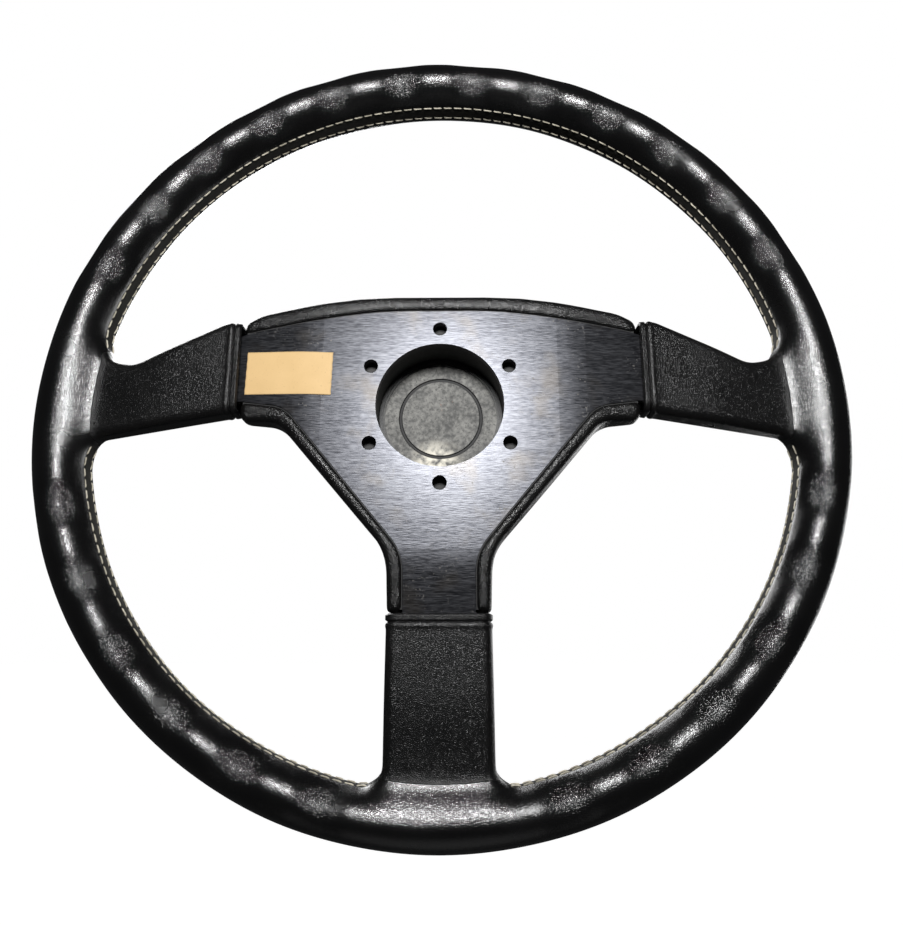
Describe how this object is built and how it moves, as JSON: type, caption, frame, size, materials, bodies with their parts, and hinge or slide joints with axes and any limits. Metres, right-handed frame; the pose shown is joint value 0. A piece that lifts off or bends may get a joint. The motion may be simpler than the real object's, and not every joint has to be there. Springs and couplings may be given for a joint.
{
  "type": "steering wheel",
  "caption": "Three-spoke sports steering wheel with a leather grip, padded hub cover, drilled hub plate and sprung horn push.",
  "frame": {"origin": "centre of the hub's mounting face, on the steering axis", "axes": "+Y along the steering axis towards the column, -Y towards the driver, +Z at twelve o'clock, +X to the driver's right"},
  "size_m": [0.364, 0.035, 0.364],
  "materials": {
    "plate_aluminium": "black anodised, brushed",
    "core_steel": "bare steel",
    "rivet_aluminium": "satin",
    "grip_foam": "matt",
    "rim_leather": "semi-gloss, worn smooth",
    "spoke_leather": "grained, satin",
    "pad_leather": "grained, satin",
    "carrier_plastic": "moulded",
    "pad_foam": "matt",
    "horn_plastic": "moulded",
    "horn_trim": "satin black",
    "horn_cap": "satin black",
    "horn_insert": "black, spun",
    "spring_steel": "bright",
    "contact_brass": "bare",
    "insulator_fibre": "hard fibre",
    "back_plate_steel": "dull plated, dusty, slightly rusty",
    "label_paper": "blank tan paper, matt"
  },
  "bodies": {
    "wheel": {"spoke_plate": "plate_aluminium", "rim_core": "core_steel", "rim_lug_left": "core_steel", "rim_lug_right": "core_steel", "rim_lug_bottom": "core_steel", "spoke_rivets": "rivet_aluminium", "rim_foam": "grip_foam", "rim_leather_upper": "rim_leather", "rim_leather_lower_left": "rim_leather", "rim_leather_lower_right": "rim_leather", "spoke_foam_left": "grip_foam", "spoke_foam_right": "grip_foam", "spoke_foam_bottom": "grip_foam", "spoke_leather_left": "spoke_leather", "spoke_leather_right": "spoke_leather", "spoke_leather_bottom": "spoke_leather", "pad_carrier": "carrier_plastic", "pad_foam": "pad_foam", "pad_leather": "pad_leather", "horn_housing": "horn_plastic", "horn_bezel": "horn_trim", "horn_spring": "spring_steel", "fixed_contact": "contact_brass", "contact_insulator": "insulator_fibre", "horn_back_plate": "back_plate_steel", "retaining_ring": "spring_steel", "stock_label": "label_paper"},
    "horn_button": {"horn_button_cap": "horn_cap", "horn_button_insert": "horn_insert", "moving_contact": "contact_brass"}
  },
  "joints": [
    {"name": "horn_press", "type": "slide", "parent": "wheel", "child": "horn_button", "axis": [0, 1, 0], "range_m": [0, 0.0019], "stiffness_N_per_m": 2500, "springref_m": -0.002, "deforming": ["horn_spring"]}
  ]
}
